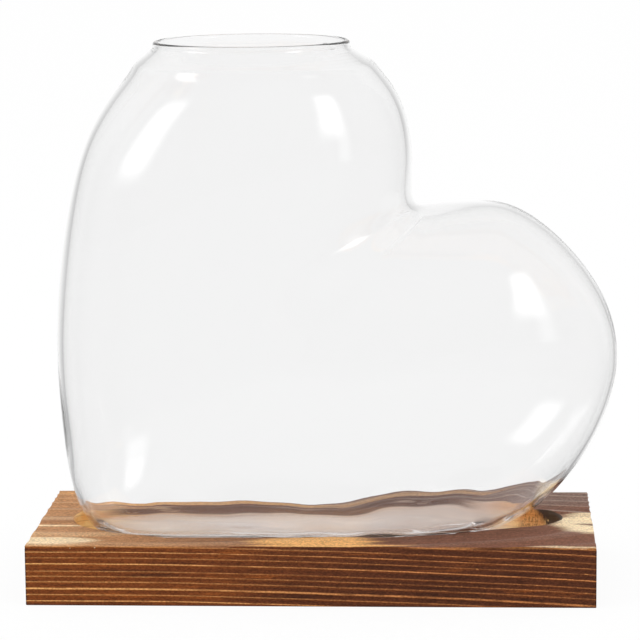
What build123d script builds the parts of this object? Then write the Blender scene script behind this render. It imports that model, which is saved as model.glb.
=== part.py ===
from build123d import *
import math
import os

os.makedirs("parts", exist_ok=True)

# A heart-shaped blown glass vessel that stands in a seat carved in a block of pine.
# Millimetres. The origin is the middle of the block's underside, with +X to the right,
# +Y to the back and +Z up.

# Wooden base
base_length = 160
base_depth = 70
base_height = 17.5
base_edge_round = 0.9

# Seat carved in the top of the base
seat_depth = 5
seat_clearance = 4.4
seat_cove_radius = 3.5
seat_edge_bevel = 0.6
cove_limit_share = 0.6

# Glass vessel, from the flat of its foot to its rim
glass_height = 143.5
heel_inset = 5.6
lobe_overhang = 6.8
side_overhang = 4
foot_flat = 1.7
mouth_diameter = 56
mouth_place_share = 0.3553
collar_height = 2
wall = 1.8
rim_round = 0.75
rim_limit_share = 0.45

# Overrun of every cut
overrun = 10

# Ends of the seat along the glass, and the four circles that its outline is drawn round.
# A circle fills each end, and each circle between them gives its place along the seat.
# The radii are shares of half the seat's depth.
seat_ends_shares = (0.026, 0.901)
heel_circle_share = 0.71
middle_circle_shares = (
    (0.200, 1.00),
    (0.640, 0.96),
)
lobe_circle_share = 0.43

# Cross-sections of the glass below its neck. They turn about the notch of the heart,
# down the tall lobe, round the heel and up the low lobe. Each row gives the outer end of
# a section (along and up), its inner end (along and up) and its half depth.
section_shares = (
    (0.129, 0.937, 0.594, 0.937, 0.867),
    (0.079, 0.857, 0.627, 0.853, 0.949),
    (0.043, 0.756, 0.636, 0.770, 0.990),
    (0.015, 0.602, 0.637, 0.715, 1.000),
    (0.001, 0.420, 0.644, 0.696, 1.000),
    (0.005, 0.225, 0.655, 0.687, 1.000),
    (0.026, 0.089, 0.666, 0.685, 1.000),
    (0.077, 0.017, 0.676, 0.686, 1.000),
    (0.189, 0.001, 0.689, 0.688, 1.000),
    (0.362, 0.000, 0.703, 0.690, 1.000),
    (0.548, 0.001, 0.722, 0.693, 0.995),
    (0.697, 0.011, 0.753, 0.693, 0.979),
    (0.790, 0.036, 0.809, 0.683, 0.933),
    (0.862, 0.081, 0.871, 0.643, 0.836),
    (0.924, 0.156, 0.928, 0.583, 0.682),
    (0.966, 0.235, 0.968, 0.522, 0.492),
    (0.991, 0.312, 0.991, 0.458, 0.264),
)
lobe_end_share = 0.385
meeting_row = 8
deepest_row = 10

# Thickness of the glass at each section, outer end and inner end: thin at the shoulders
# and the low lobe's end, thicker in the notch, and a thick gather under the floor
neck_wall_share = 0.95
wall_shares = (
    (0.85, 0.90),
    (0.90, 1.10),
    (0.95, 1.30),
    (1.00, 1.45),
    (1.05, 1.45),
    (1.15, 1.45),
    (1.50, 1.45),
    (2.10, 1.45),
    (2.30, 1.45),
    (2.30, 1.45),
    (2.30, 1.40),
    (2.10, 1.30),
    (1.60, 1.10),
    (1.15, 0.95),
    (0.90, 0.80),
    (0.75, 0.70),
    (0.60, 0.60),
)
lobe_end_wall_share = 0.55

# Worked out from the driving dimensions
base_left = -base_length / 2
glass_left = base_left + heel_inset
glass_width = base_length - heel_inset + lobe_overhang
glass_half_depth = base_depth / 2 + side_overhang
foot_z = base_height - seat_depth
body_bottom_z = foot_z - foot_flat
rim_z = foot_z + glass_height
neck_z = rim_z - collar_height
mouth_radius = mouth_diameter / 2
mouth_x = glass_left + mouth_place_share * glass_width
neck_wall = wall * neck_wall_share


def on_glass(along_share, up_share):
    # A point of the heart's outline, from its shares of the glass's width and height
    x = glass_left + along_share * glass_width
    z = body_bottom_z + up_share * (neck_z - body_bottom_z)
    return Vector(x, 0, z)


def inset(rail, index, distance, side):
    # A point of an outline moved square to it, into the glass on the given side
    behind = rail[index - 1]
    ahead = rail[index + 1]
    run = (ahead - behind).normalized()
    inward = Vector(-run.Z, 0, run.X) * side
    return rail[index] + inward * distance


def heart_sections(outer_points, inner_points, depths):
    # One ellipse for each pair of ends, in the plane through them that is square to the
    # heart's middle plane
    faces = []
    for outer, inner, depth in zip(outer_points, inner_points, depths):
        along = (inner - outer).normalized()
        plane = Plane(
            origin=(outer + inner) / 2,
            x_dir=along,
            z_dir=Vector(-along.Z, 0, along.X),
        )
        with BuildSketch(plane) as section:
            Ellipse((inner - outer).length / 2, depth)
        faces.append(section.sketch.face())
    return faces


def loft_heart(faces, end, mode):
    # The tall lobe and the low lobe, which meet in the section from heel to notch
    loft(sections=faces[: meeting_row + 1], mode=mode)
    loft(sections=[*faces[meeting_row:], Vertex(end)], mode=mode)


def section_half_depth(row, height):
    # Half the depth of the glass at a height, in the middle of the heart
    centre_z = (outer_rail[row].Z + inner_rail[row].Z) / 2
    half_height = (inner_rail[row].Z - outer_rail[row].Z) / 2
    return half_depths[row] * math.sqrt(1 - ((centre_z - height) / half_height) ** 2)


# The two outlines of the heart, from the mouth to the low lobe's end, and the half
# depths between them
mouth_centre = Vector(mouth_x, 0, neck_z)
lobe_end = on_glass(1, lobe_end_share)
outer_rail = [mouth_centre - Vector(mouth_radius, 0, 0)]
inner_rail = [mouth_centre + Vector(mouth_radius, 0, 0)]
half_depths = [mouth_radius]
for outer_x, outer_z, inner_x, inner_z, depth_share in section_shares:
    outer_rail.append(on_glass(outer_x, outer_z))
    inner_rail.append(on_glass(inner_x, inner_z))
    half_depths.append(depth_share * glass_half_depth)
outer_rail.append(lobe_end)
inner_rail.append(lobe_end)

# The same outlines and half depths for the hollow, inside the wall
hollow_end = lobe_end - Vector(wall * lobe_end_wall_share, 0, 0)
hollow_outer = [outer_rail[0] + Vector(neck_wall, 0, 0)]
hollow_inner = [inner_rail[0] - Vector(neck_wall, 0, 0)]
hollow_depths = [mouth_radius - neck_wall]
for row, (outer_share, inner_share) in enumerate(wall_shares, start=1):
    hollow_outer.append(inset(outer_rail, row, wall * outer_share, 1))
    hollow_inner.append(inset(inner_rail, row, wall * inner_share, -1))
    side_wall = wall * min(outer_share, inner_share)
    hollow_depths.append(half_depths[row] - side_wall)

# The seat is wider than the foot of the glass where that passes the top of the base
seat_left, seat_right = (on_glass(share, 0).X for share in seat_ends_shares)
seat_length = seat_right - seat_left
foot_half_depth = section_half_depth(deepest_row, base_height)
seat_half_depth = foot_half_depth + seat_clearance
heel_circle = seat_half_depth * heel_circle_share
lobe_circle = seat_half_depth * lobe_circle_share
seat_circles = [
    (seat_left + heel_circle, heel_circle),
    (seat_right - lobe_circle, lobe_circle),
]
for along, radius_share in middle_circle_shares:
    seat_circles.append((seat_left + along * seat_length, seat_half_depth * radius_share))
seat_cove = min(seat_cove_radius, seat_depth * cove_limit_share)

# One solid block of pine with eased edges and a carved seat
with BuildPart() as wooden_base:
    Box(
        base_length,
        base_depth,
        base_height,
        align=(Align.CENTER, Align.CENTER, Align.MIN),
    )
    fillet(wooden_base.edges(), radius=base_edge_round)
    with BuildSketch(Plane.XY.offset(foot_z)):
        for centre_x, radius in seat_circles:
            with Locations((centre_x, 0)):
                Circle(radius)
        make_hull()
    extrude(amount=seat_depth + overrun, mode=Mode.SUBTRACT)
    seat_floor = wooden_base.faces().filter_by_position(Axis.Z, foot_z, foot_z)
    fillet(seat_floor.edges(), radius=seat_cove)
    base_top = wooden_base.faces().filter_by(Axis.Z).sort_by(Axis.Z)[-1]
    seat_edges = base_top.inner_wires()[0].edges()
    chamfer(seat_edges, length=seat_edge_bevel)

# One blown glass vessel: the heart's body, a short collar round its mouth, the hollow
# inside and the flat of its foot
body_sections = heart_sections(outer_rail, inner_rail, half_depths)
hollow_sections = heart_sections(hollow_outer, hollow_inner, hollow_depths)
with BuildPart() as glass_vessel:
    loft_heart(body_sections, lobe_end, Mode.ADD)
    with BuildSketch(Plane(mouth_centre)):
        Circle(mouth_radius)
    extrude(amount=collar_height)
    loft_heart(hollow_sections, hollow_end, Mode.SUBTRACT)
    with BuildSketch(Plane(mouth_centre)):
        Circle(mouth_radius - neck_wall)
    extrude(amount=collar_height + overrun, mode=Mode.SUBTRACT)
    rim_face = glass_vessel.faces().filter_by(Axis.Z).sort_by(Axis.Z)[-1]
    fillet(rim_face.edges(), radius=min(rim_round, neck_wall * rim_limit_share))
    split(bisect_by=Plane.XY.offset(foot_z), keep=Keep.TOP)

wooden_base.part.label = "wooden_base"
glass_vessel.part.label = "glass_vessel"

export_step(wooden_base.part, "parts/wooden_base.step")
export_step(glass_vessel.part, "parts/glass_vessel.step")
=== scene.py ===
import math

import bmesh
import bpy
from mathutils import Matrix, Vector, noise


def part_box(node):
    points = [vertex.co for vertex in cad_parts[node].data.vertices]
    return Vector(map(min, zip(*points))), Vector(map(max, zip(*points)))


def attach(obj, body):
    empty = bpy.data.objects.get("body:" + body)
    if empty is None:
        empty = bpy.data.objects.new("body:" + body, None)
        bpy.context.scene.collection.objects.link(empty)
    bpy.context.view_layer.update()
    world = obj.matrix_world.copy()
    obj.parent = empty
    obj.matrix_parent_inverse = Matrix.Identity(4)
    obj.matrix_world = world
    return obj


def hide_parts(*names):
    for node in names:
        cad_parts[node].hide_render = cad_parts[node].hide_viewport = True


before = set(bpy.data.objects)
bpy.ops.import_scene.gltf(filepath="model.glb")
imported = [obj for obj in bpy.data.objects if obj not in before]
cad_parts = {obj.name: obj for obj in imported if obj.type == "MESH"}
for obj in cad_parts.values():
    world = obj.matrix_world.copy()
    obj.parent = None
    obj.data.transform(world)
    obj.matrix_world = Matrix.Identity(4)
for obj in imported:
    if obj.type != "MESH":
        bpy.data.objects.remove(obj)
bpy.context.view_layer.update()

mm = 0.001
perMetre = (1000.0, 1000.0, 1000.0)
baseHigh = Vector(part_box("wooden_base")[1])
glassLow, glassHigh = (Vector(corner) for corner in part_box("glass_vessel"))


def report(stage):
    print("stage:", stage)


# Small helpers for shapes

def smoothStep(low, high, value):
    share = min(max((value - low) / (high - low), 0.0), 1.0)
    return share * share * (3.0 - 2.0 * share)


def bell(value, middle, reach):
    return math.exp(-((value - middle) / reach) ** 2)


def softMax(value, softness):
    # the value where it is above zero, and zero below, with a soft bend between
    return 0.5 * (value + math.sqrt(value * value + softness))


def makePiece(name, points, faces, materials, faceMaterials=None):
    mesh = bpy.data.meshes.new(name)
    mesh.from_pydata(points, [], faces)
    for material in materials:
        mesh.materials.append(material)
    if faceMaterials:
        mesh.polygons.foreach_set("material_index", faceMaterials)
    mesh.polygons.foreach_set("use_smooth", [True] * len(mesh.polygons))
    mesh.update()
    piece = bpy.data.objects.new(name, mesh)
    bpy.context.scene.collection.objects.link(piece)
    return piece


def bridgeRings(first, second, count):
    # quads between two closed rings of count points that start at these indices
    quads = []
    for step in range(count):
        after = (step + 1) % count
        quads.append((first + step, first + after, second + after, second + step))
    return quads


def joinPoints(piece, reach):
    # points closer than the reach become one, where a ring shrinks to a line
    joined = bmesh.new()
    joined.from_mesh(piece.data)
    bmesh.ops.remove_doubles(joined, verts=joined.verts, dist=reach)
    joined.to_mesh(piece.data)
    joined.free()


def smoothCurve(knots, values):
    # a natural cubic through the values, as a function of the knots
    last = len(knots) - 1
    gaps = [knots[i + 1] - knots[i] for i in range(last)]
    slopes = [(values[i + 1] - values[i]) / gaps[i] for i in range(last)]
    ratios = [0.0]
    loads = [0.0]
    for i in range(1, last):
        pivot = 2.0 * (gaps[i - 1] + gaps[i]) - gaps[i - 1] * ratios[-1]
        ratios.append(gaps[i] / pivot)
        loads.append((6.0 * (slopes[i] - slopes[i - 1]) - gaps[i - 1] * loads[-1]) / pivot)
    bends = [0.0] * (last + 1)
    for i in range(last - 1, 0, -1):
        bends[i] = loads[i] - ratios[i] * bends[i + 1]

    def valueAt(place):
        i = 0
        while i < last - 1 and place > knots[i + 1]:
            i += 1
        gap = gaps[i]
        ahead = (place - knots[i]) / gap
        behind = 1.0 - ahead
        bend = (behind ** 3 - behind) * bends[i] + (ahead ** 3 - ahead) * bends[i + 1]
        return behind * values[i] + ahead * values[i + 1] + bend * gap * gap / 6.0

    return valueAt


# Small helpers for nodes, in materials and in geometry trees alike

def put(tree, kind, **settings):
    node = tree.nodes.new(kind)
    for name, value in settings.items():
        setattr(node, name, value)
    return node


def feed(tree, socket, value):
    if isinstance(value, bpy.types.NodeSocket):
        tree.links.new(value, socket)
    else:
        socket.default_value = value


def calc(tree, operation, *values):
    node = put(tree, "ShaderNodeMath", operation=operation)
    for socket, value in zip(node.inputs, values):
        feed(tree, socket, value)
    return node.outputs[0]


def times(tree, first, second):
    return calc(tree, "MULTIPLY", first, second)


def minus(tree, first, second):
    return calc(tree, "SUBTRACT", first, second)


def larger(tree, first, second):
    return calc(tree, "MAXIMUM", first, second)


def vectorNode(tree, operation, *values):
    node = put(tree, "ShaderNodeVectorMath", operation=operation)
    for socket, value in zip(node.inputs, values):
        feed(tree, socket, value)
    return node


def moved(tree, operation, *values):
    return vectorNode(tree, operation, *values).outputs["Vector"]


def measured(tree, operation, *values):
    return vectorNode(tree, operation, *values).outputs["Value"]


def stretch(tree, place, factors):
    return moved(tree, "MULTIPLY", place, factors)


def partsOf(tree, place):
    node = put(tree, "ShaderNodeSeparateXYZ")
    feed(tree, node.inputs[0], place)
    return node.outputs


def cloud(tree, place, size, detail=2.0, roughness=0.5):
    # smooth noise, 0 to 1, whose features are size long along X, Y and Z
    node = put(tree, "ShaderNodeTexNoise", noise_dimensions="3D")
    feed(tree, node.inputs["Vector"], stretch(tree, place, tuple(1.0 / s for s in size)))
    node.inputs["Scale"].default_value = 1.0
    node.inputs["Detail"].default_value = detail
    node.inputs["Roughness"].default_value = roughness
    return node.outputs[0]


def ramp(tree, value, low, high, start=0.0, end=1.0):
    node = put(tree, "ShaderNodeMapRange", interpolation_type="SMOOTHSTEP")
    for socket, part in zip(node.inputs, (value, low, high, start, end)):
        feed(tree, socket, part)
    return node.outputs[0]


def blendColours(tree, share, first, second, mode="MIX"):
    node = put(tree, "ShaderNodeMix", data_type="RGBA", blend_type=mode)
    feed(tree, node.inputs[0], share)
    feed(tree, node.inputs[6], first)
    feed(tree, node.inputs[7], second)
    return node.outputs[2]


def colour(red, green, blue):
    # a colour as it looks on screen, 0 to 255, in the renderer's own linear values
    linear = []
    for part in (red, green, blue):
        share = part / 255.0
        linear.append(share / 12.92 if share <= 0.04045 else ((share + 0.055) / 1.055) ** 2.4)
    return (*linear, 1.0)


def newMaterial(name):
    material = bpy.data.materials.new(name)
    material.use_nodes = True
    tree = material.node_tree
    return material, tree, tree.nodes["Principled BSDF"]


def addBump(tree, shader, height, strength, depth):
    bump = put(tree, "ShaderNodeBump")
    bump.inputs["Strength"].default_value = strength
    bump.inputs["Distance"].default_value = depth * mm
    feed(tree, bump.inputs["Height"], height)
    feed(tree, shader.inputs["Normal"], bump.outputs[0])


# Camera

cameraView = {
    "focal": 2924.4,            # in pixels of the picture
    "frame": 640.0,
    "sensor": 36.0,
    "place": (47.76, -828.04, 213.68),
    "yaw": 3.184,
    "pitch": 9.453,
    "roll": -0.535,
    "clip": (0.05, 60.0),       # in metres
}


def makeCamera(sizes):
    yaw, pitch, roll = (math.radians(sizes[key]) for key in ("yaw", "pitch", "roll"))
    ahead = Vector((-math.sin(yaw) * math.cos(pitch), math.cos(yaw) * math.cos(pitch), -math.sin(pitch)))
    level = Vector((math.cos(yaw), math.sin(yaw), 0.0))
    upright = level.cross(ahead)
    right = math.cos(roll) * level + math.sin(roll) * upright
    up = math.cos(roll) * upright - math.sin(roll) * level
    data = bpy.data.cameras.new("camera")
    data.sensor_width = sizes["sensor"]
    data.lens = sizes["focal"] / sizes["frame"] * sizes["sensor"]
    data.clip_start, data.clip_end = sizes["clip"]
    camera = bpy.data.objects.new("camera", data)
    bpy.context.scene.collection.objects.link(camera)
    turn = Matrix((right, up, -ahead)).transposed().to_4x4()
    camera.matrix_world = Matrix.Translation(Vector(sizes["place"]) * mm) @ turn
    bpy.context.scene.camera = camera


makeCamera(cameraView)
report("camera")


# Pine: growth rings as bowed cylinders about a pith far below the board, with lengths in mm

pine = {
    "Ring Pitch": 1.72,
    "Pith Across": -12.0,
    "Pith Height": -95.0,
    "First Ring": 101.54,
    "Lean": 0.02625,
    "Bow": 0.00018,
    "Wander": 0.5,
    "Unevenness": 0.7,
}

ringLook = {
    "longWaves": (60.0, 17.0, 17.0),
    "shortWaves": (16.0, 4.0, 4.0),
    "shortShare": 0.22,
    "pitchRun": (1.9, 1.0, 1.0),        # in rings: how slowly their pitch changes
    "widthRun": (1.0, 0.7, 1.0),        # in years
    "widthSpread": 0.12,                # in ring pitches, like the next two
    "leastWidth": 0.015,
    "firstWidth": 0.07,                 # more for the first ring
    "boldRun": (1.0, 0.6, 1.0),
    "boldStart": (7.3, 0.0, 0.0),
    "boldness": (0.3, 0.6, 0.45, 1.0),  # from and to, and the strength at each
    "lineEdge": 0.06,
    "underReach": (-0.5, -0.08),
    "fibreSize": (9.0, 0.22, 0.22),
    "streakSize": (30.0, 2.2, 2.2),
}


def countRings(tree, place, sizes):
    # how many rings a point lies from the first ring, and how far it is from the nearest
    along, across, up = partsOf(tree, place)
    sideways = minus(tree, across, sizes["Pith Across"])
    upwards = minus(tree, up, sizes["Pith Height"])
    squared = times(tree, upwards, upwards)
    away = calc(tree, "SQRT", calc(tree, "MULTIPLY_ADD", sideways, sideways, squared))
    bowed = calc(tree, "MULTIPLY_ADD", along, sizes["Bow"], sizes["Lean"])
    leaning = calc(tree, "MULTIPLY_ADD", along, bowed, away)
    longWave = minus(tree, cloud(tree, place, ringLook["longWaves"], 1.0), 0.5)
    shortWave = minus(tree, cloud(tree, place, ringLook["shortWaves"], 1.0), 0.5)
    waves = calc(tree, "MULTIPLY_ADD", shortWave, ringLook["shortShare"], longWave)
    wandering = calc(tree, "MULTIPLY_ADD", waves, sizes["Wander"], leaning)
    fromFirst = minus(tree, wandering, sizes["First Ring"])
    rings = calc(tree, "DIVIDE", fromFirst, sizes["Ring Pitch"])
    ringPlace = put(tree, "ShaderNodeCombineXYZ")
    feed(tree, ringPlace.inputs[0], rings)
    uneven = minus(tree, cloud(tree, ringPlace.outputs[0], ringLook["pitchRun"], 0.0), 0.5)
    rings = calc(tree, "MULTIPLY_ADD", uneven, sizes["Unevenness"], rings)
    return rings, calc(tree, "PINGPONG", rings, 0.5)


def ringWidth(tree, rings):
    # half the width of a ring's hard line, in ring pitches, and how clearly it shows; both
    # differ from year to year, and the first ring is the widest
    year = calc(tree, "ROUND", rings)
    place = put(tree, "ShaderNodeCombineXYZ")
    feed(tree, place.inputs[1], year)
    widest = calc(tree, "COMPARE", year, 0.0, 0.5)
    chance = cloud(tree, place.outputs[0], ringLook["widthRun"], 0.0)
    half = calc(tree, "MULTIPLY_ADD", chance, ringLook["widthSpread"], ringLook["leastWidth"])
    half = calc(tree, "MULTIPLY_ADD", widest, ringLook["firstWidth"], half)
    further = moved(tree, "ADD", place.outputs[0], ringLook["boldStart"])
    other = cloud(tree, further, ringLook["boldRun"], 0.0)
    boldness = larger(tree, ramp(tree, other, *ringLook["boldness"]), widest)
    return half, boldness


def buildRingGroup():
    # shared by the burnt and the bare wood
    tree = bpy.data.node_groups.new("pineRings", "ShaderNodeTree")
    tree.interface.new_socket("Place", in_out="INPUT", socket_type="NodeSocketVector")
    for name, value in pine.items():
        tree.interface.new_socket(name, in_out="INPUT", socket_type="NodeSocketFloat").default_value = value
    for name in ("Line", "Boldness", "Under", "Fibre", "Streak"):
        tree.interface.new_socket(name, in_out="OUTPUT", socket_type="NodeSocketFloat")
    given = put(tree, "NodeGroupInput").outputs
    result = put(tree, "NodeGroupOutput").inputs
    place = stretch(tree, given["Place"], perMetre)
    rings, nearest = countRings(tree, place, given)
    half, boldness = ringWidth(tree, rings)
    outerEdge = calc(tree, "ADD", half, ringLook["lineEdge"])
    line = ramp(tree, nearest, outerEdge, times(tree, half, 0.5))
    feed(tree, result["Line"], line)
    feed(tree, result["Boldness"], boldness)
    phase = minus(tree, rings, calc(tree, "ROUND", rings))
    below = calc(tree, "LESS_THAN", phase, 0.0)
    feed(tree, result["Under"], times(tree, ramp(tree, phase, *ringLook["underReach"]), below))
    feed(tree, result["Fibre"], cloud(tree, place, ringLook["fibreSize"], 3.0, 0.6))
    feed(tree, result["Streak"], cloud(tree, place, ringLook["streakSize"], 2.0, 0.6))
    return tree


ringGroup = buildRingGroup()


def ringNodes(tree):
    # the shared rings on a piece's own coordinates, and those coordinates in mm
    seen = put(tree, "ShaderNodeTexCoord").outputs["Object"]
    rings = put(tree, "ShaderNodeGroup", node_tree=ringGroup)
    tree.links.new(seen, rings.inputs["Place"])
    return rings.outputs, stretch(tree, seen, perMetre)


burnt = {
    "charLeft": colour(112, 58, 25),
    "charRight": colour(80, 43, 26),
    "charDeep": colour(58, 32, 22),
    "charWorn": colour(146, 80, 34),
    "lineLeft": colour(214, 158, 96),
    "lineRight": colour(186, 120, 70),
    # the top's colours are paler and greyer than the sides', partly painted light from above and painted
    # sheen
    "topLeft": colour(194, 141, 96),
    "topRight": colour(131, 86, 66),
    "topDark": colour(88, 56, 42),
    "topLineLeft": colour(216, 172, 126),
    "topLineRight": colour(176, 152, 134),
    "bareTop": colour(255, 230, 188),
    "rubbedTop": colour(250, 189, 118),
    "topBack": colour(132, 112, 102),
    "scorched": colour(106, 50, 16),
    "edgeWear": colour(196, 132, 74),
    "chip": colour(232, 206, 168),
    # sizes of the patterns along, across and up, and then from where to where an effect
    # grows, with its strength at each
    "toneSize": (30.0, 4.0, 2.2),
    "breakSize": (9.0, 1.2, 1.2),
    "fleckSize": (0.8, 0.5, 0.45),
    "speckleSize": (0.7, 0.5, 0.3),
    "darkening": (-85.0, 40.0),             # along: the burn is darker to the right
    "deepTones": (0.74, 0.50, 0.0, 0.7),
    "wornTones": (0.80, 1.05, 0.0, 0.7),
    "underGlow": (-85.0, 80.0, 0.55, 0.2),  # along: warm brown below a line, less to the right
    "corners": (0.45, 0.15, 0.0, 0.75),     # in from the ends: charred
    "breaks": (0.34, 0.55, 0.35, 1.0),
    "topTones": (0.74, 0.50, 0.0, 0.45),
    "topBackward": (8.0, 24.0, 0.0, 0.7),   # across: dull towards the back
    "topPlain": (-12.0, -20.0, 0.0, 0.7),   # across: fainter lines at the front
    "topLines": 0.8,
    "ragged": 0.9,
    "bareShare": 0.94,
    "rubbedShare": 0.9,
    "darkShare": 0.85,
    "topFacing": (0.5, 0.75),
    "topReach": (1.2, 0.7),                 # down from the top
    "flecks": (0.66, 0.74),
    "flecksOnLines": (0.0, 0.6, 0.05, 0.8),
    "edgeReach": (1.0, 0.5),                # down from the top
    "edgeStreaks": (0.4, 0.62),
    "edgeShare": 0.6,
    "chipSqueeze": (1.0, 0.3, 1.0),
    "chipEdge": 0.25,
    "fibreShade": (0.3, 0.7, 0.88, 1.12),
    "speckleShade": (0.36, 0.64, 0.7, 1.3),
    "roughness": (0.0, 1.0, 0.66, 0.5),     # hard lines are smoother
    "gloss": 0.12,
    "bumpStrength": 0.6,
    "bumpDepth": 0.12,
    "lineBump": 0.8,
}

# places on the block's top that were brushed bare: middle and half sizes along and across
# in mm, and strength
barePatches = (
    (-76.0, -29.0, 15.0, 4.6, 0.85),
    (78.5, -5.6, 9.5, 11.4, 1.0),
    (80.0, -34.2, 20.0, 0.8, 0.6),
    (-76.0, -10.6, 12.0, 0.9, 0.8),
)
# rubbed down to orange
rubbedPatches = (
    (0.5, -28.6, 17.0, 5.2, 1.0),
    (6.0, -33.4, 22.0, 1.4, 1.0),
    (-34.0, 30.6, 42.0, 3.2, 0.6),
    (24.0, 30.0, 30.0, 3.0, 0.4),
)
# and left dark, or scorched along the back of the seat
darkPatches = (
    (83.0, -7.0, 8.0, 1.7, 0.9),
    (-78.0, -6.0, 13.0, 2.2, 0.3),
    (-36.0, 26.4, 27.0, 1.7, 1.0),
    (22.0, 25.6, 33.0, 1.5, 0.8),
)
# chips knocked off the front's top edge: along, down from the top, and size
chips = ((-67.2, 0.9, 0.25), (-60.2, 0.7, 0.3))


def distanceFrom(tree, place, middle, squeeze):
    return measured(tree, "LENGTH", stretch(tree, moved(tree, "SUBTRACT", place, middle), squeeze))


def buildPatchGroup():
    # a soft-edged ellipse drawn out along the grain, with ragged ends
    tree = bpy.data.node_groups.new("raggedPatch", "ShaderNodeTree")
    for name in ("Distance", "Rag", "Strength"):
        tree.interface.new_socket(name, in_out="INPUT", socket_type="NodeSocketFloat")
    tree.interface.new_socket("Mask", in_out="OUTPUT", socket_type="NodeSocketFloat")
    given = put(tree, "NodeGroupInput").outputs
    edge = calc(tree, "ADD", given["Distance"], given["Rag"])
    mask = ramp(tree, edge, 1.25, 0.75, 0.0, given["Strength"])
    feed(tree, put(tree, "NodeGroupOutput").inputs["Mask"], mask)
    return tree


patchGroup = buildPatchGroup()


def patchMask(tree, place, patches, rag):
    mask = None
    for middleX, middleY, halfLong, halfWide, strength in patches:
        patch = put(tree, "ShaderNodeGroup", node_tree=patchGroup)
        squeeze = (1.0 / halfLong, 1.0 / halfWide, 0.0)
        distance = distanceFrom(tree, place, (middleX, middleY, 0.0), squeeze)
        feed(tree, patch.inputs["Distance"], distance)
        feed(tree, patch.inputs["Rag"], rag)
        feed(tree, patch.inputs["Strength"], strength)
        shown = patch.outputs["Mask"]
        mask = shown if mask is None else larger(tree, mask, shown)
    return mask


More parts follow.
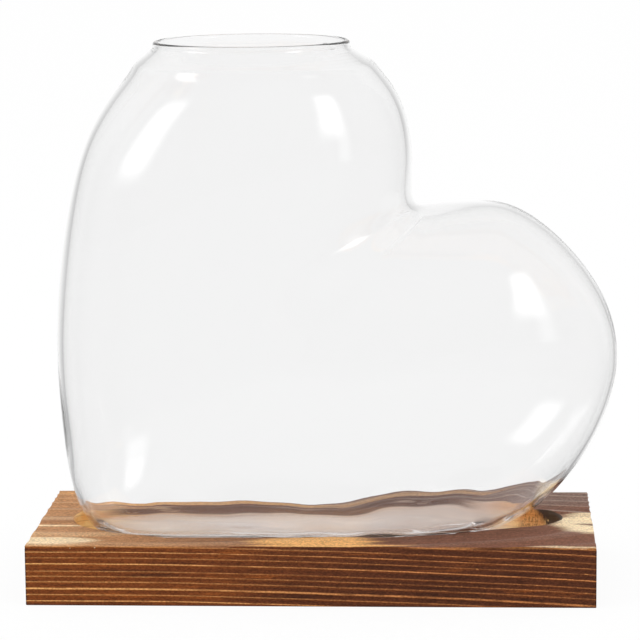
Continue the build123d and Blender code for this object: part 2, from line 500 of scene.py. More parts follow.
def makeBurntPine():
    material, tree, shader = newMaterial("burntPine")
    rings, place = ringNodes(tree)
    along, across, up = partsOf(tree, place)
    rightward = ramp(tree, along, *burnt["darkening"])
    # the sides: charred bands between the light lines
    tone = cloud(tree, place, burnt["toneSize"], 3.0, 0.65)
    tone = calc(tree, "MULTIPLY_ADD", rings["Streak"], 0.5, tone)
    side = blendColours(tree, rightward, burnt["charLeft"], burnt["charRight"])
    side = blendColours(tree, ramp(tree, tone, *burnt["deepTones"]), side, burnt["charDeep"])
    side = blendColours(tree, ramp(tree, tone, *burnt["wornTones"]), side, burnt["charWorn"])
    glow = times(tree, rings["Under"], ramp(tree, along, *burnt["underGlow"]))
    side = blendColours(tree, glow, side, burnt["charWorn"])
    endward = minus(tree, baseHigh.x / mm, calc(tree, "ABSOLUTE", along))
    downward = minus(tree, baseHigh.z / mm, up)
    side = blendColours(tree, ramp(tree, endward, *burnt["corners"]), side, burnt["charDeep"])
    line = blendColours(tree, rightward, burnt["lineLeft"], burnt["lineRight"])
    broken = ramp(tree, cloud(tree, place, burnt["breakSize"], 3.0, 0.6), *burnt["breaks"])
    strength = times(tree, rings["Line"], times(tree, broken, rings["Boldness"]))
    side = blendColours(tree, strength, side, line)
    # the top: paler and greyer than the sides, partly painted light from above and painted sheen, and
    # brushed bare in places
    brushedTopWithPaintedLight = blendColours(tree, rightward, burnt["topLeft"], burnt["topRight"])
    brushedTopWithPaintedLight = blendColours(tree, ramp(tree, tone, *burnt["topTones"]), brushedTopWithPaintedLight, burnt["topDark"])
    backward = times(tree, ramp(tree, across, *burnt["topBackward"]), rightward)
    brushedTopWithPaintedLight = blendColours(tree, backward, brushedTopWithPaintedLight, burnt["topBack"])
    topLine = blendColours(tree, rightward, burnt["topLineLeft"], burnt["topLineRight"])
    plain = times(tree, ramp(tree, across, *burnt["topPlain"]), rightward)
    topStrength = times(tree, strength, minus(tree, burnt["topLines"], plain))
    brushedTopWithPaintedLight = blendColours(tree, topStrength, brushedTopWithPaintedLight, topLine)
    rag = calc(tree, "MULTIPLY_ADD", rings["Streak"], burnt["ragged"], -burnt["ragged"] / 2)
    for patches, share, tint in (
        (barePatches, burnt["bareShare"], burnt["bareTop"]),
        (rubbedPatches, burnt["rubbedShare"], burnt["rubbedTop"]),
        (darkPatches, burnt["darkShare"], burnt["scorched"]),
    ):
        mask = times(tree, patchMask(tree, place, patches, rag), share)
        brushedTopWithPaintedLight = blendColours(tree, mask, brushedTopWithPaintedLight, tint)
    # where the surface faces up it takes the top's colours, which carry painted light from above
    facing = partsOf(tree, put(tree, "ShaderNodeNewGeometry").outputs["True Normal"])
    onTop = ramp(tree, facing["Z"], *burnt["topFacing"])
    onTop = times(tree, onTop, ramp(tree, downward, *burnt["topReach"]))
    # flecks the brush left in the lines, and long top edges rubbed by handling
    flecks = ramp(tree, cloud(tree, place, burnt["fleckSize"], 1.0), *burnt["flecks"])
    flecks = times(tree, flecks, ramp(tree, rings["Line"], *burnt["flecksOnLines"]))
    side = blendColours(tree, flecks, side, burnt["edgeWear"])
    edge = ramp(tree, downward, *burnt["edgeReach"])
    edge = times(tree, edge, ramp(tree, rings["Streak"], *burnt["edgeStreaks"]))
    side = blendColours(tree, times(tree, edge, burnt["edgeShare"]), side, burnt["edgeWear"])
    worn = blendColours(tree, onTop, side, brushedTopWithPaintedLight)
    chipped = None
    for chipX, chipDown, chipSize in chips:
        middle = (chipX, -baseHigh.y / mm, baseHigh.z / mm - chipDown)
        distance = distanceFrom(tree, place, middle, burnt["chipSqueeze"])
        ragged = calc(tree, "MULTIPLY_ADD", rings["Fibre"], 0.5, distance)
        spot = ramp(tree, ragged, chipSize + burnt["chipEdge"], chipSize)
        chipped = spot if chipped is None else larger(tree, chipped, spot)
    worn = blendColours(tree, chipped, worn, burnt["chip"])
    speckle = cloud(tree, place, burnt["speckleSize"], 3.0, 0.7)
    grain = ramp(tree, rings["Fibre"], *burnt["fibreShade"])
    grain = times(tree, grain, ramp(tree, speckle, *burnt["speckleShade"]))
    worn = blendColours(tree, 1.0, worn, grain, "MULTIPLY")
    tree.links.new(worn, shader.inputs["Base Color"])
    feed(tree, shader.inputs["Roughness"], ramp(tree, rings["Line"], *burnt["roughness"]))
    shader.inputs["Specular IOR Level"].default_value = burnt["gloss"]
    height = calc(tree, "MULTIPLY_ADD", rings["Line"], burnt["lineBump"], rings["Fibre"])
    addBump(tree, shader, height, burnt["bumpStrength"], burnt["bumpDepth"])
    return material


bareWood = {
    "pale": colour(255, 209, 136),
    "tan": colour(243, 178, 102),
    "line": colour(186, 122, 62),
    "burn": colour(40, 27, 23),
    "scorch": colour(184, 106, 42),
    "scorchDeep": colour(100, 50, 20),
    "paintedWhiteReflection": colour(240, 222, 214),
    "toneSize": (40.0, 6.0, 6.0),
    "strokeSize": (0.55, 1.4, 1.6),
    "tans": (0.5, 0.95),
    "lineShare": 0.45,
    "ragged": 2.0,
    "scorchShare": 0.6,
    "strokes": (0.46, 0.58),
    "strokeShare": 0.7,
    "middleReach": (62.0, 48.0),                # along, from the middle: paler, a painted reflection of the white room
    "middleRise": (-56.0, -18.0, 0.3, 0.74),    # along
    "wallTop": (12.9, 14.4),                    # the back wall was scorched as well: up,
    "wallBack": (12.0, 19.0),                   # across
    "wallEnd": (52.0, 40.0),                    # and along
    "wallStreaks": (0.25, 0.5, 0.5, 0.95),
    "burnRag": 0.8,
    "burnRise": 0.22,                           # the burn reaches further along the top of
    "burnLevel": 15.6,                          # the wall than it does below this height
    "burnShare": 0.95,
    "fibreShade": (0.3, 0.7, 0.9, 1.06),
    "roughness": 0.6,
    "bumpStrength": 0.4,
    "bumpDepth": 0.1,
}

burnPatches = ((69.0, 6.0, 4.2, 8.4, 1.0),)
scorchPatches = ((63.0, 10.5, 4.2, 5.0, 0.9), (-66.0, -8.0, 4.0, 9.0, 0.6))


def makeBarePine():
    material, tree, shader = newMaterial("barePine")
    rings, place = ringNodes(tree)
    tone = calc(tree, "MULTIPLY_ADD", rings["Streak"], 0.5, cloud(tree, place, bareWood["toneSize"], 2.0))
    wood = blendColours(tree, ramp(tree, tone, *bareWood["tans"]), bareWood["pale"], bareWood["tan"])
    line = times(tree, rings["Line"], bareWood["lineShare"])
    wood = blendColours(tree, line, wood, bareWood["line"])
    along, across, up = partsOf(tree, place)
    strokes = cloud(tree, place, bareWood["strokeSize"], 3.0, 0.75)
    rag = calc(tree, "MULTIPLY_ADD", strokes, bareWood["ragged"], -bareWood["ragged"] / 2)
    scorch = patchMask(tree, place, scorchPatches, rag)
    mask = times(tree, scorch, bareWood["scorchShare"])
    wood = blendColours(tree, mask, wood, bareWood["scorch"])
    scorch = times(tree, scorch, ramp(tree, strokes, *bareWood["strokes"]))
    mask = times(tree, scorch, bareWood["strokeShare"])
    wood = blendColours(tree, mask, wood, bareWood["scorchDeep"])
    # the seat's middle turns whitish: a painted reflection of the white room, not a colour of the wood
    middle = ramp(tree, calc(tree, "ABSOLUTE", along), *bareWood["middleReach"])
    middle = times(tree, middle, ramp(tree, along, *bareWood["middleRise"]))
    wood = blendColours(tree, middle, wood, bareWood["paintedWhiteReflection"])
    backWall = ramp(tree, up, *bareWood["wallTop"])
    for value, reach in ((across, "wallBack"), (along, "wallEnd"), (rings["Streak"], "wallStreaks")):
        backWall = times(tree, backWall, ramp(tree, value, *bareWood[reach]))
    wood = blendColours(tree, backWall, wood, bareWood["scorchDeep"])
    rise = bareWood["burnRise"]
    lower = calc(tree, "MULTIPLY_ADD", up, -rise, rise * bareWood["burnLevel"])
    rag = calc(tree, "MULTIPLY_ADD", rag, bareWood["burnRag"], lower)
    burn = times(tree, patchMask(tree, place, burnPatches, rag), bareWood["burnShare"])
    wood = blendColours(tree, burn, wood, bareWood["burn"])
    fibres = ramp(tree, rings["Fibre"], *bareWood["fibreShade"])
    wood = blendColours(tree, 1.0, wood, fibres, "MULTIPLY")
    tree.links.new(wood, shader.inputs["Base Color"])
    shader.inputs["Roughness"].default_value = bareWood["roughness"]
    addBump(tree, shader, rings["Fibre"], bareWood["bumpStrength"], bareWood["bumpDepth"])
    return material


burntPine = makeBurntPine()
barePine = makeBarePine()
report("wood materials")


# Wooden base: rings of points from the middle of the seat out over the top, down the
# sides and in under the block

block = {
    "seatDepth": 5.0,
    "seatRight": 70.85,
    "seatCircles": ((-53.2, 17.0), (-42.0, 24.0), (20.0, 23.0), (60.5, 10.35)),
    "seatSkew": 1.6,            # the low lobe's end of the seat lies a little to the back
    "skewFrom": 20.0,
    "skewWidth": 12.0,          # and the skew fades out this close to the block's sides
    "skewLength": 6.0,
    "coveRadius": 3.0,
    "toeGap": 0.1,              # the wall leans in this much down to the cove
    "bevel": 0.6,
    "wallProfile": ((0.05, 1.1), (0.0, 0.6), (-0.3, 0.22)),  # in from the edge, down from the top
    "spineInset": 12.0,         # the floor's middle line starts this far left of its widest
    "coveSteps": 8,
    "edgeRound": 0.4,
    "edgeSteps": 4,
    "longStep": 1.0,
    "shortStep": 0.5,
    "topRings": 22,
    "floorRings": 9,
    "sideRings": 60,
    "underShares": (1.0, 0.75, 0.45, 0.15, 0.0),
    "joinReach": 0.002,
}


def seatReach(sizes, point):
    # the point of the seat's outline nearest to a point outside it, from the straight
    # edges and arcs that wrap the four circles
    circles = sizes["seatCircles"]
    flip = -1.0 if point[1] < 0.0 else 1.0
    target = Vector((point[0], abs(point[1])))
    best = None
    for (fromX, fromRadius), (toX, toRadius) in zip(circles, circles[1:]):
        gap = toX - fromX
        lean = math.asin((fromRadius - toRadius) / gap)
        outward = Vector((math.sin(lean), math.cos(lean)))
        start = Vector((fromX, 0.0)) + outward * fromRadius
        end = Vector((toX, 0.0)) + outward * toRadius
        share = (target - start).dot(end - start) / (end - start).length_squared
        near = start.lerp(end, min(max(share, 0.0), 1.0))
        if best is None or (target - near).length < (target - best).length:
            best = near
    for index in (0, -1):
        middle = Vector((circles[index][0], 0.0))
        ray = (target - middle).normalized()
        near = middle + ray * circles[index][1]
        beyond = near.x < best.x if index == 0 else near.x > best.x
        if beyond and (target - near).length < (target - best).length:
            best = near
    return Vector((best.x, best.y * flip))


def blockRim(sizes, halfLength, halfDepth):
    # points round the block, with its corners among them, even front to back
    rim = []
    longCount = round(2 * halfLength / sizes["longStep"])
    shortCount = round(2 * halfDepth / sizes["shortStep"])
    for step in range(longCount):
        rim.append((halfLength * (2 * step / longCount - 1), -halfDepth))
    for step in range(shortCount):
        rim.append((halfLength, halfDepth * (2 * step / shortCount - 1)))
    for step in range(longCount):
        rim.append((halfLength * (1 - 2 * step / longCount), halfDepth))
    for step in range(shortCount):
        rim.append((-halfLength, halfDepth * (1 - 2 * step / shortCount)))
    return rim


def makeBlock(sizes):
    halfLength = baseHigh.x / mm
    halfDepth = baseHigh.y / mm
    height = baseHigh.z / mm
    edgeRound = sizes["edgeRound"]
    rim = blockRim(sizes, halfLength, halfDepth)
    count = len(rim)
    seat = [seatReach(sizes, point) for point in rim]
    spineLeft = sizes["seatCircles"][1][0] - sizes["spineInset"]
    spineRight = sizes["seatCircles"][3][0]
    spine = [Vector((min(max(point.x, spineLeft), spineRight), 0.0)) for point in seat]
    inward = [(middle - edge).normalized() for middle, edge in zip(spine, seat)]
    points = []
    rings = []

    def addRing(places, slot):
        rings.append((len(points), slot))
        points.extend(places)

    def addRimRing(inset, level):
        addRing([(x * (1 - inset / halfLength), y * (1 - inset / halfDepth), level) for x, y in rim], 0)

    floorZ = height - sizes["seatDepth"]
    cove = sizes["coveRadius"]
    toeGap = sizes["toeGap"]
    for step in range(sizes["floorRings"] + 1):
        share = step / sizes["floorRings"]
        ring = []
        for edge, middle, turn in zip(seat, spine, inward):
            toe = edge + turn * (cove + toeGap)
            spot = middle.lerp(toe, share)
            ring.append((spot.x, spot.y, floorZ))
        addRing(ring, 1)
    profile = []
    for step in range(1, sizes["coveSteps"] + 1):
        angle = math.radians(90.0 * step / sizes["coveSteps"])
        profile.append((cove * (1 - math.sin(angle)) + toeGap, floorZ + cove * (1 - math.cos(angle))))
    profile.extend((reach, height - down) for reach, down in sizes["wallProfile"])
    for reach, level in profile:
        addRing([(edge.x + turn.x * reach, edge.y + turn.y * reach, level)
                 for edge, turn in zip(seat, inward)], 1)
    for step in range(sizes["topRings"] + 1):
        share = step / sizes["topRings"]
        ring = []
        for edge, corner, turn in zip(seat, rim, inward):
            start = edge - turn * sizes["bevel"]
            goalX = corner[0] * (1 - edgeRound / halfLength)
            goalY = corner[1] * (1 - edgeRound / halfDepth)
            spot = start.lerp(Vector((goalX, goalY)), share)
            ring.append((spot.x, spot.y, height))
        addRing(ring, 0 if step else 1)
    edgeAngles = [math.radians(90.0 * step / sizes["edgeSteps"]) for step in range(1, sizes["edgeSteps"])]
    for angle in edgeAngles:
        addRimRing(edgeRound * (1 - math.sin(angle)), height - edgeRound * (1 - math.cos(angle)))
    for step in range(sizes["sideRings"] + 1):
        addRimRing(0.0, (height - edgeRound) + (2 * edgeRound - height) * step / sizes["sideRings"])
    for angle in edgeAngles:
        addRimRing(edgeRound * (1 - math.cos(angle)), edgeRound * (1 - math.sin(angle)))
    for share in sizes["underShares"]:
        ring = []
        for x, y in rim:
            goalX = min(max(x, halfDepth - halfLength), halfLength - halfDepth)
            edgeX = x * (1 - edgeRound / halfLength)
            edgeY = y * (1 - edgeRound / halfDepth)
            ring.append((goalX + (edgeX - goalX) * share, edgeY * share, 0.0))
        addRing(ring, 0)
    faces = []
    faceMaterials = []
    for (first, _), (second, slot) in zip(rings, rings[1:]):
        quads = bridgeRings(second, first, count)
        faces.extend(quads)
        faceMaterials.extend([slot] * len(quads))
    skew = sizes["seatSkew"]
    placed = []
    for x, y, z in points:
        inside = smoothStep(halfDepth, halfDepth - sizes["skewWidth"], abs(y))
        inside *= smoothStep(sizes["skewFrom"], sizes["seatRight"], x)
        inside *= smoothStep(halfLength, halfLength - sizes["skewLength"], x)
        placed.append((x * mm, (y + skew * inside) * mm, z * mm))
    piece = makePiece("wooden_base_brushed", placed, faces, (burntPine, barePine), faceMaterials)
    joinPoints(piece, sizes["joinReach"] * mm)
    return piece


brushing = {
    "Relief Depth": 0.22,
    "Fibre Depth": 0.05,
    "Seat Depth": 0.03,
}

brushReach = {
    "softFrom": 0.7,            # of half a hard line's width
    "softTo": 0.16,             # beyond it, in ring pitches
    "fibreSize": (9.0, 0.7, 0.7),
    "top": (0.9, 0.3),          # mm down or in from the block's outer faces
    "sides": (1.0, 0.2),
    "corners": (1.2, 0.3),
    "cornerTop": (0.5, 1.3),
    "floor": (0.2, 1.2),        # mm up
}


def brushRelief(piece):
    # wire brushing: the soft wood between the rings' hard lines is worn down along the
    # surface's normal, but not at the upright corners or by the floor
    tree = bpy.data.node_groups.new("brushedRings", "GeometryNodeTree")
    tree.interface.new_socket("Geometry", in_out="INPUT", socket_type="NodeSocketGeometry")
    tree.interface.new_socket("Geometry", in_out="OUTPUT", socket_type="NodeSocketGeometry")
    sockets = {}
    for name, value in {**pine, **brushing}.items():
        socket = tree.interface.new_socket(name, in_out="INPUT", socket_type="NodeSocketFloat")
        sockets[name] = socket.identifier
    given = put(tree, "NodeGroupInput").outputs
    result = put(tree, "NodeGroupOutput").inputs
    place = stretch(tree, put(tree, "GeometryNodeInputPosition").outputs[0], perMetre)
    along, across, up = partsOf(tree, place)
    rings, nearest = countRings(tree, place, given)
    half = ringWidth(tree, rings)[0]
    softFrom = times(tree, half, brushReach["softFrom"])
    softTo = calc(tree, "ADD", half, brushReach["softTo"])
    soft = ramp(tree, nearest, softFrom, softTo)
    fibre = cloud(tree, place, brushReach["fibreSize"], 2.0, 0.6)
    # depths below the block's outer faces
    endward = minus(tree, baseHigh.x / mm, calc(tree, "ABSOLUTE", along))
    sideward = minus(tree, baseHigh.y / mm, calc(tree, "ABSOLUTE", across))
    downward = minus(tree, baseHigh.z / mm, up)
    outside = ramp(tree, downward, *brushReach["top"])
    outside = larger(tree, outside, ramp(tree, sideward, *brushReach["sides"]))
    outside = larger(tree, outside, ramp(tree, endward, *brushReach["sides"]))
    clearOfFloor = ramp(tree, up, *brushReach["floor"])
    fibreDepth = times(tree, fibre, given["Fibre Depth"])
    burntDepth = calc(tree, "MULTIPLY_ADD", soft, given["Relief Depth"], fibreDepth)
    burntDepth = times(tree, burntDepth, clearOfFloor)
    corner = ramp(tree, endward, *brushReach["corners"])
    corner = times(tree, corner, ramp(tree, sideward, *brushReach["corners"]))
    corner = times(tree, corner, ramp(tree, downward, *brushReach["cornerTop"]))
    burntDepth = times(tree, burntDepth, minus(tree, 1.0, corner))
    depth = times(tree, outside, burntDepth)
    depth = calc(tree, "ADD", depth, times(tree, given["Seat Depth"], clearOfFloor))
    worn = put(tree, "ShaderNodeVectorMath", operation="SCALE")
    feed(tree, worn.inputs[0], put(tree, "GeometryNodeInputNormal").outputs[0])
    feed(tree, worn.inputs["Scale"], times(tree, depth, -mm))
    move = put(tree, "GeometryNodeSetPosition")
    feed(tree, move.inputs["Geometry"], given["Geometry"])
    feed(tree, move.inputs["Offset"], worn.outputs[0])
    real = put(tree, "GeometryNodeRealizeInstances")
    feed(tree, real.inputs[0], move.outputs[0])
    burntFaces = put(tree, "GeometryNodeInputMaterialIndex")
    isBurnt = put(tree, "FunctionNodeCompare", data_type="INT", operation="EQUAL")
    feed(tree, isBurnt.inputs[2], burntFaces.outputs[0])
    isBurnt.inputs[3].default_value = 0
    finishMaterial = put(tree, "GeometryNodeSetMaterial")
    feed(tree, finishMaterial.inputs["Geometry"], real.outputs[0])
    feed(tree, finishMaterial.inputs["Selection"], isBurnt.outputs[0])
    finishMaterial.inputs["Material"].default_value = burntPine
    feed(tree, result["Geometry"], finishMaterial.outputs[0])
    modifier = piece.modifiers.new("brushing", "NODES")
    modifier.node_group = tree
    for name, value in {**pine, **brushing}.items():
        modifier[sockets[name]] = value
    evaluated = piece.evaluated_get(bpy.context.evaluated_depsgraph_get())
    plain = bpy.data.meshes.new_from_object(evaluated)
    piece.modifiers.remove(modifier)
    piece.data = plain


woodenBase = makeBlock(block)
brushRelief(woodenBase)
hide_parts("wooden_base")
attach(woodenBase, "base")
report("wooden base")


# Glass vessel. The heart is a row of ellipses that turn about its notch. Each section
# gives its outer end (along, up), its inner end (along, up) and its half depth, as shares
# of the vessel's width, of its body's height and of its half depth.

vessel = {
    "footFlat": 1.7,
    "collar": 2.0,
    "collarOutside": ((0.02, 0.35), (0.04, 0.8)),   # in from the outside, up from the neck
    "collarInside": ((0.0, 0.6), (0.15, -0.3)),     # out into the wall, up from the neck
    "lipSteps": 8,
    "mouthRadius": 28.0,
    "mouthPlace": 0.3553,
    "lobeEnd": 0.385,
    "depthShare": 0.9993,       # the smoothed curves bulge a little past their sections
    "wall": 1.7,
    "floorGlass": 3.2,          # the hollow's floor lies this far above the foot
    "lobeFloorGlass": 1.0,      # and more under the low lobe
    "lobeFloorAlong": (12.0, 42.0),
    "floorWaves": 0.12,
    "floorBlend": 0.5,          # how softly the floor meets the wall, in square mm
    "footBlend": 0.3,
    "heelThinning": 0.9,        # less where the blown wall turns in under the tall lobe
    "heelAlong": (28.0, 6.0),
    "heelHeights": (38.0, 20.0),
    "bellyWall": 0.4,           # more just above that
    "bellyHeight": 41.0,
    "bellyReach": 12.0,
    "notchWall": 0.3,           # more glass in the notch
    "notchPlace": (31.5, 0.0, 109.0),
    "notchReach": 13.0,
    "lobeThinning": 0.6,
    "lobeAlong": (58.0, 84.0),
    "waviness": 0.12,
    "waveLength": 34.0,
    "footWaves": 0.3,           # uneven glass low down
    "footWaveLength": 10.0,
    "footWaveHeights": (42.0, 20.0),
    "footFullness": 0.10,       # how far sections swell at their corners: by the foot,
    "footShares": (0.25, 0.6),
    "notchFullness": 0.20,      # by the notch
    "notchShares": (0.30, 0.42),
    "lobeFullness": 0.16,       # and over the low lobe
    "lobeShares": (0.5, 0.7),
    "innerSide": (-0.2, 0.6),   # towards the notch, as the cosine round a section
    "shoulder": 0.034,          # swell just under the collar
    "shoulderShare": 0.024,
    "shoulderReach": 0.016,
    "around": 120,
    "ringStep": 0.3,
    "sections": (
        (0.129, 0.937, 0.594, 0.937, 0.867),
        (0.079, 0.857, 0.629, 0.853, 0.949),
        (0.043, 0.756, 0.638, 0.770, 0.990),
        (0.015, 0.602, 0.638, 0.715, 1.000),
        (0.001, 0.420, 0.6425, 0.691, 1.000),
        (0.009, 0.225, 0.651, 0.684, 1.000),
        (0.031, 0.089, 0.661, 0.682, 1.000),
        (0.079, 0.017, 0.672, 0.683, 1.000),
        (0.189, 0.001, 0.686, 0.685, 1.000),
        (0.362, 0.000, 0.702, 0.687, 1.000),
        (0.548, 0.001, 0.722, 0.689, 0.995),
        (0.697, 0.011, 0.753, 0.691, 0.967),
        (0.790, 0.036, 0.809, 0.683, 0.890),
        (0.862, 0.081, 0.871, 0.643, 0.762),
        (0.924, 0.156, 0.926, 0.583, 0.585),
        (0.966, 0.235, 0.965, 0.522, 0.395),
        (0.991, 0.312, 0.990, 0.458, 0.200),
    ),
}


clearGlass = {
    "tint": (0.99, 0.99, 0.99, 1.0),
    "refraction": 1.47,
    "waveStrength": 0.25,       # faint waves of hand-blown glass
    "waveDepth": 0.05,
    "waveSize": (20.0, 20.0, 12.0),
}


def makeGlassMaterial(look):
    material, tree, shader = newMaterial("clearGlass")
    place = put(tree, "ShaderNodeTexCoord").outputs["Object"]
    shader.inputs["Base Color"].default_value = look["tint"]
    shader.inputs["Transmission Weight"].default_value = 1.0
    shader.inputs["IOR"].default_value = look["refraction"]
    shader.inputs["Roughness"].default_value = 0.0
    waves = cloud(tree, place, tuple(size * mm for size in look["waveSize"]), 1.0)
    addBump(tree, shader, waves, look["waveStrength"], look["waveDepth"])
    # lamps reach what stands behind the glass
    clear = put(tree, "ShaderNodeBsdfTransparent")
    rays = put(tree, "ShaderNodeLightPath")
    mixed = put(tree, "ShaderNodeMixShader")
    tree.links.new(rays.outputs["Is Shadow Ray"], mixed.inputs[0])
    tree.links.new(shader.outputs[0], mixed.inputs[1])
    tree.links.new(clear.outputs[0], mixed.inputs[2])
    tree.links.new(mixed.outputs[0], tree.nodes["Material Output"].inputs["Surface"])
    return material


def heartRails(sizes):
    # the sections' two ends and half depths in mm, smoothed, the last place on them, and
    # the mouth's place and the neck's height
    low, high = glassLow / mm, glassHigh / mm
    bottom = low.z - sizes["footFlat"]
    neck = high.z - sizes["collar"]
    width = high.x - low.x
    halfDepth = (high.y - low.y) / 2 * sizes["depthShare"]
    mouthX = low.x + sizes["mouthPlace"] * width
    radius = sizes["mouthRadius"]
    rows = [(mouthX - radius, neck, mouthX + radius, neck, radius)]
    for outerX, outerZ, innerX, innerZ, depth in sizes["sections"]:
        rows.append((
            low.x + outerX * width, bottom + outerZ * (neck - bottom),
            low.x + innerX * width, bottom + innerZ * (neck - bottom),
            depth * halfDepth,
        ))
    endZ = bottom + sizes["lobeEnd"] * (neck - bottom)
    rows.append((high.x, endZ, high.x, endZ, 0.0))
    endRow = len(rows) - 1
    for row in (rows[endRow - 1], rows[endRow - 2]):
        rows.append((row[2], row[3], row[0], row[1], -row[4]))    # on round the lobe's end
    knots = [0.0]
    for before, after in zip(rows, rows[1:]):
        outerRun = math.hypot(after[0] - before[0], after[1] - before[1])
        innerRun = math.hypot(after[2] - before[2], after[3] - before[3])
        knots.append(knots[-1] + math.sqrt((outerRun + innerRun) / 2))
    curves = [smoothCurve(knots, [row[part] for row in rows]) for part in range(5)]
    return curves, knots[endRow], mouthX, neck


def heartPoint(sizes, curves, share, place, angle):
    outerX, outerZ, innerX, innerZ, depth = (curve(place) for curve in curves)
    outward = sizes["footFullness"] * smoothStep(*sizes["footShares"], share)
    inward = sizes["notchFullness"] * smoothStep(*sizes["notchShares"], share)
    inward += (sizes["lobeFullness"] - sizes["notchFullness"]) * smoothStep(*sizes["lobeShares"], share)
    fullness = outward + (inward - outward) * smoothStep(*sizes["innerSide"], math.cos(angle))
    swell = 1.0 + sizes["shoulder"] * bell(share, sizes["shoulderShare"], sizes["shoulderReach"])
    swing = math.cos(angle) / 2 * (1.0 + fullness * math.sin(angle) ** 2) * swell
    return Vector((
        (outerX + innerX) / 2 + (innerX - outerX) * swing,
        math.sin(angle) * (1.0 + fullness * math.cos(angle) ** 2) * depth * swell,
        (outerZ + innerZ) / 2 + (innerZ - outerZ) * swing,
    ))


def makeVessel(sizes):
    curves, endPlace, mouthX, neck = heartRails(sizes)
    around = sizes["around"]
    ringCount = round(endPlace / sizes["ringStep"])
    foot, rim = glassLow.z / mm, glassHigh.z / mm
    notch = Vector(sizes["notchPlace"])
    angles = [2 * math.pi * step / around for step in range(around)]
    grid = []
    for ring in range(ringCount):
        share = ring / ringCount
        grid.append([heartPoint(sizes, curves, share, endPlace * share, angle) for angle in angles])
    tip = Vector((glassHigh.x / mm, 0.0, curves[1](endPlace)))

    def normalAt(ring, step):
        before = grid[max(ring - 1, 0)][step]
        after = grid[ring + 1][step] if ring + 1 < ringCount else tip
        left = grid[ring][(step - 1) % around]
        right = grid[ring][(step + 1) % around]
        return (after - before).cross(right - left).normalized()

    def wallAt(point, rough):
        wall = sizes["wall"]
        underTall = smoothStep(*sizes["heelAlong"], point.x)
        wall -= sizes["heelThinning"] * underTall * smoothStep(*sizes["heelHeights"], point.z)
        wall += sizes["bellyWall"] * underTall * bell(point.z, sizes["bellyHeight"], sizes["bellyReach"])
        wall += sizes["footWaves"] * rough * smoothStep(*sizes["footWaveHeights"], point.z)
        wall += sizes["notchWall"] * bell((point - notch).length, 0.0, sizes["notchReach"])
        wall -= sizes["lobeThinning"] * smoothStep(*sizes["lobeAlong"], point.x)
        return wall * (1.0 + sizes["waviness"] * noise.noise(point / sizes["waveLength"]))

    def floorAt(point, rough):
        level = foot + sizes["floorGlass"] + sizes["floorWaves"] * rough
        return level + sizes["lobeFloorGlass"] * smoothStep(*sizes["lobeFloorAlong"], point.x)

    outer = []
    inner = []
    for ring in range(ringCount):
        outerRing = []
        innerRing = []
        for step in range(around):
            point = grid[ring][step]
            rough = noise.noise(point / sizes["footWaveLength"])
            inside = point - normalAt(ring, step) * wallAt(point, rough)
            level = floorAt(point, rough)
            inside.z = level + softMax(inside.z - level, sizes["floorBlend"])
            innerRing.append(inside)
            lifted = foot + softMax(point.z - foot, sizes["footBlend"])
            outerRing.append(Vector((point.x, point.y, max(lifted, foot))))
        outer.append(outerRing)
        inner.append(innerRing)
    # the collar turns up from the neck, ends in a fire-polished lip and goes back down
    radius = sizes["mouthRadius"]
    lip = sizes["wall"] / 2
    profile = [(radius - inset, neck + up) for inset, up in sizes["collarOutside"]]
    for step in range(sizes["lipSteps"] + 1):
        angle = math.pi * step / sizes["lipSteps"]
        profile.append((radius - lip + lip * math.cos(angle), rim - lip + lip * math.sin(angle)))
    inside = radius - sizes["wall"]
    profile.extend((inside + inset, neck + up) for inset, up in sizes["collarInside"])
    collar = []
    for reach, level in profile:
        turns = ((reach * math.cos(angle), reach * math.sin(angle)) for angle in angles)
        collar.append([Vector((mouthX + along, across, level)) for along, across in turns])
    rows = [*reversed(outer), *collar, *inner]
    points = [tuple(point * mm) for row in rows for point in row]
    faces = []
    for index in range(len(rows) - 1):
        faces.extend(bridgeRings(index * around, (index + 1) * around, around))
    outerTip = len(points)
    points.append(tuple(tip * mm))
    innerTip = len(points)
    tipWall = sizes["wall"] - sizes["lobeThinning"]
    points.append(tuple((tip - Vector((tipWall, 0.0, 0.0))) * mm))
    lastRow = (len(rows) - 1) * around
    for step in range(around):
        after = (step + 1) % around
        faces.append((step, outerTip, after))
        faces.append((lastRow + step, lastRow + after, innerTip))
    return makePiece("glass_vessel_blown", points, faces, (makeGlassMaterial(clearGlass),))


glassVessel = makeVessel(vessel)
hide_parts("glass_vessel")
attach(glassVessel, "vessel")
report("glass vessel")


# Studio: a white floor that keeps a faint shadow, a white room and soft lamps

studio = {
    "floorHalf": 12.0,
    "floorShare": 0.92,         # how much of the floor's look is plain white
    "floorColour": (0.93, 0.93, 0.93, 1.0),
    "floorView": 0.045,         # the height from which gloss sees the floor
    "lowFront": 0.05,           # how bright gloss shows what lies in front, low down
    "highFront": 0.36,          # and high up
    "climb": (-0.7, 0.6),       # between these heights of a direction
    "sideRise": 0.36,           # how much brighter the sides are
    "aside": (-0.5, 0.9),
    "backward": (-0.055, 0.985, -0.164),
    "backCone": (0.84, 0.985),
    "deepGlow": 0.9,            # for light that has run far inside the glass
    "deepRun": (5.0, 9.0),      # in turns of the light
    "ambient": 1.0,             # the room's light on wood and floor
    "boxGlow": 3.2,
    "boxSides": (1.5, 0.3),     # shares of a box's half sizes over which it fades
    "boxEnds": (1.2, 0.5),
    "bounces": 32,              # light runs a long way inside the thick glass of the foot
    "glossyBounces": 24,
    "middle": (0.0, 0.0, 0.07),     # of the vase, where the lamps aim
    "lampPower": 5.0,
}

# softboxes as gloss shows them: degrees round from the front to the right, up, half
# sizes both ways, lean and strength
softBoxes = (
    (-68.0, 21.0, 11.0, 12.5, 0.5, 1.0),
    (58.5, 22.0, 9.5, 14.0, 0.2, 1.0),
    (64.0, 5.0, 5.0, 8.0, 0.0, 0.22),
)

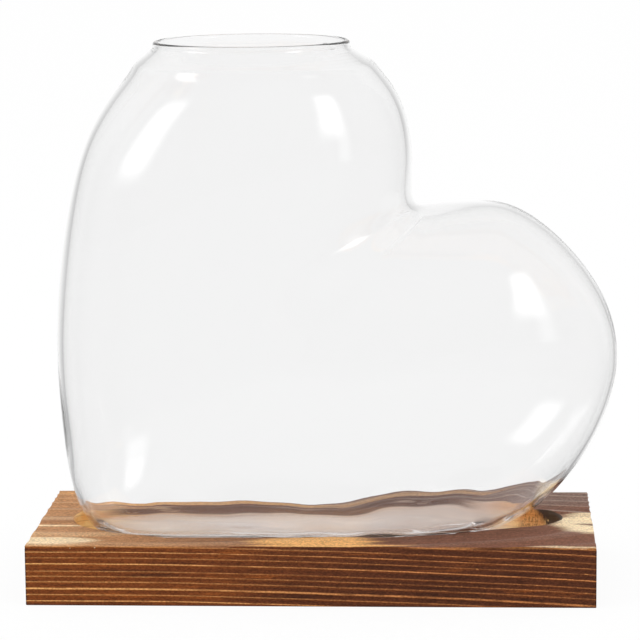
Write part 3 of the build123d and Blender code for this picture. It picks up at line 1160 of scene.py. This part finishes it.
# the soft lamps: name, place, width and height in metres
lamps = (
    ("leftLamp", (-1.3, -0.9, 0.9), 0.5, 0.9),
    ("rightLamp", (1.2, -1.0, 0.8), 0.5, 0.7),
)


def buildLevelGroup(sizes):
    # how bright gloss and glass show the room in a direction: white straight behind the
    # vessel and for light that nothing mirrored, dim in front
    tree = bpy.data.node_groups.new("roomLevel", "ShaderNodeTree")
    tree.interface.new_socket("Direction", in_out="INPUT", socket_type="NodeSocketVector")
    for name in ("Depth", "Mirrorings"):
        tree.interface.new_socket(name, in_out="INPUT", socket_type="NodeSocketFloat")
    tree.interface.new_socket("Level", in_out="OUTPUT", socket_type="NodeSocketFloat")
    given = put(tree, "NodeGroupInput").outputs
    axes = partsOf(tree, given["Direction"])
    level = ramp(tree, axes["Z"], *sizes["climb"], sizes["lowFront"], sizes["highFront"])
    aside = ramp(tree, axes["Y"], *sizes["aside"], 0.0, sizes["sideRise"])
    level = calc(tree, "ADD", level, aside)
    aligned = measured(tree, "DOT_PRODUCT", given["Direction"], sizes["backward"])
    behind = ramp(tree, aligned, *sizes["backCone"])
    deep = ramp(tree, given["Depth"], *sizes["deepRun"], 0.0, sizes["deepGlow"])
    behind = larger(tree, behind, deep)
    behind = larger(tree, behind, calc(tree, "LESS_THAN", given["Mirrorings"], 0.5))
    white = put(tree, "ShaderNodeMix", data_type="FLOAT")
    feed(tree, white.inputs[0], behind)
    feed(tree, white.inputs[2], level)
    feed(tree, white.inputs[3], 1.0)
    feed(tree, put(tree, "NodeGroupOutput").inputs["Level"], white.outputs[0])
    return tree


levelGroup = buildLevelGroup(studio)


def roomLevel(tree, direction, rays):
    group = put(tree, "ShaderNodeGroup", node_tree=levelGroup)
    feed(tree, group.inputs["Direction"], direction)
    feed(tree, group.inputs["Depth"], rays["Ray Depth"])
    feed(tree, group.inputs["Mirrorings"], rays["Glossy Depth"])
    return group.outputs["Level"]


def whiteRays(tree):
    # 1 for rays off gloss and through glass that light nothing matt, and the ray kinds
    rays = put(tree, "ShaderNodeLightPath").outputs
    seen = larger(tree, rays["Is Glossy Ray"], rays["Is Transmission Ray"])
    return times(tree, seen, calc(tree, "LESS_THAN", rays["Diffuse Depth"], 0.5)), rays


def makeFloor(sizes):
    half = sizes["floorHalf"]
    corners = [(-half, -half, 0.0), (half, -half, 0.0), (half, half, 0.0), (-half, half, 0.0)]
    material, tree, shader = newMaterial("paleFloor")
    shader.inputs["Base Color"].default_value = sizes["floorColour"]
    shader.inputs["Roughness"].default_value = 0.9
    shader.inputs["Specular IOR Level"].default_value = 0.0
    white = put(tree, "ShaderNodeEmission")
    white.inputs["Strength"].default_value = 1.0
    mixed = put(tree, "ShaderNodeMixShader")
    mirrored, rays = whiteRays(tree)
    seen = larger(tree, mirrored, rays["Is Camera Ray"])
    feed(tree, mixed.inputs[0], times(tree, seen, sizes["floorShare"]))
    # gloss sees each part of the floor in the direction in which it lies from the vessel
    place = put(tree, "ShaderNodeNewGeometry").outputs["Position"]
    beside = larger(tree, partsOf(tree, place)["X"], glassLow.x)
    nearest = put(tree, "ShaderNodeCombineXYZ")
    feed(tree, nearest.inputs["X"], calc(tree, "MINIMUM", beside, glassHigh.x))
    nearest.inputs["Z"].default_value = sizes["floorView"]
    direction = moved(tree, "NORMALIZE", moved(tree, "SUBTRACT", place, nearest.outputs[0]))
    level = larger(tree, roomLevel(tree, direction, rays), rays["Is Camera Ray"])
    feed(tree, white.inputs["Color"], level)
    tree.links.new(shader.outputs[0], mixed.inputs[1])
    tree.links.new(white.outputs[0], mixed.inputs[2])
    tree.links.new(mixed.outputs[0], tree.nodes["Material Output"].inputs["Surface"])
    floor = makePiece("floor", corners, [(0, 1, 2, 3)], (material,))


def makeRoom(sizes):
    world = bpy.data.worlds.new("room")
    world.use_nodes = True
    bpy.context.scene.world = world
    tree = world.node_tree
    background = tree.nodes["Background"]
    direction = put(tree, "ShaderNodeTexCoord").outputs["Generated"]
    axes = partsOf(tree, direction)
    ahead = times(tree, axes["Y"], -1.0)
    turn = calc(tree, "DEGREES", calc(tree, "ARCTAN2", axes["X"], ahead))
    climb = calc(tree, "DEGREES", calc(tree, "ARCSINE", axes["Z"]))
    glow = 0.0
    for boxTurn, boxClimb, halfWide, halfHigh, lean, share in softBoxes:
        higher = minus(tree, climb, boxClimb)
        aside = minus(tree, turn, calc(tree, "MULTIPLY_ADD", higher, lean, boxTurn))
        widthEdge = (halfWide * part for part in sizes["boxSides"])
        inWidth = ramp(tree, calc(tree, "ABSOLUTE", aside), *widthEdge)
        heightEdge = (halfHigh * part for part in sizes["boxEnds"])
        inHeight = ramp(tree, calc(tree, "ABSOLUTE", higher), *heightEdge, 0.0, share)
        glow = calc(tree, "MULTIPLY_ADD", inWidth, inHeight, glow)
    mirrored, rays = whiteRays(tree)
    level = calc(tree, "MULTIPLY_ADD", glow, sizes["boxGlow"], roomLevel(tree, direction, rays))
    strength = put(tree, "ShaderNodeMix", data_type="FLOAT")
    feed(tree, strength.inputs[0], mirrored)
    feed(tree, strength.inputs[2], sizes["ambient"])
    feed(tree, strength.inputs[3], level)
    level = larger(tree, strength.outputs[0], rays["Is Camera Ray"])
    feed(tree, background.inputs["Color"], level)
    background.inputs["Strength"].default_value = 1.0


def makeLamp(name, place, width, height, sizes):
    data = bpy.data.lights.new(name, "AREA")
    data.shape = "RECTANGLE"
    data.size = width
    data.size_y = height
    data.energy = sizes["lampPower"]
    lamp = bpy.data.objects.new(name, data)
    bpy.context.scene.collection.objects.link(lamp)
    lamp.location = place
    lamp.rotation_mode = "QUATERNION"
    ray = Vector(sizes["middle"]) - Vector(place)
    lamp.rotation_quaternion = ray.to_track_quat("-Z", "Y")
    lamp.visible_camera = False
    lamp.visible_glossy = False
    lamp.visible_transmission = False


makeFloor(studio)
makeRoom(studio)
for lamp in lamps:
    makeLamp(*lamp, studio)
bpy.context.scene.view_settings.view_transform = "Standard"
bpy.context.scene.cycles.max_bounces = studio["bounces"]
bpy.context.scene.cycles.glossy_bounces = studio["glossyBounces"]
bpy.context.scene.cycles.transmission_bounces = studio["bounces"]
report("studio")
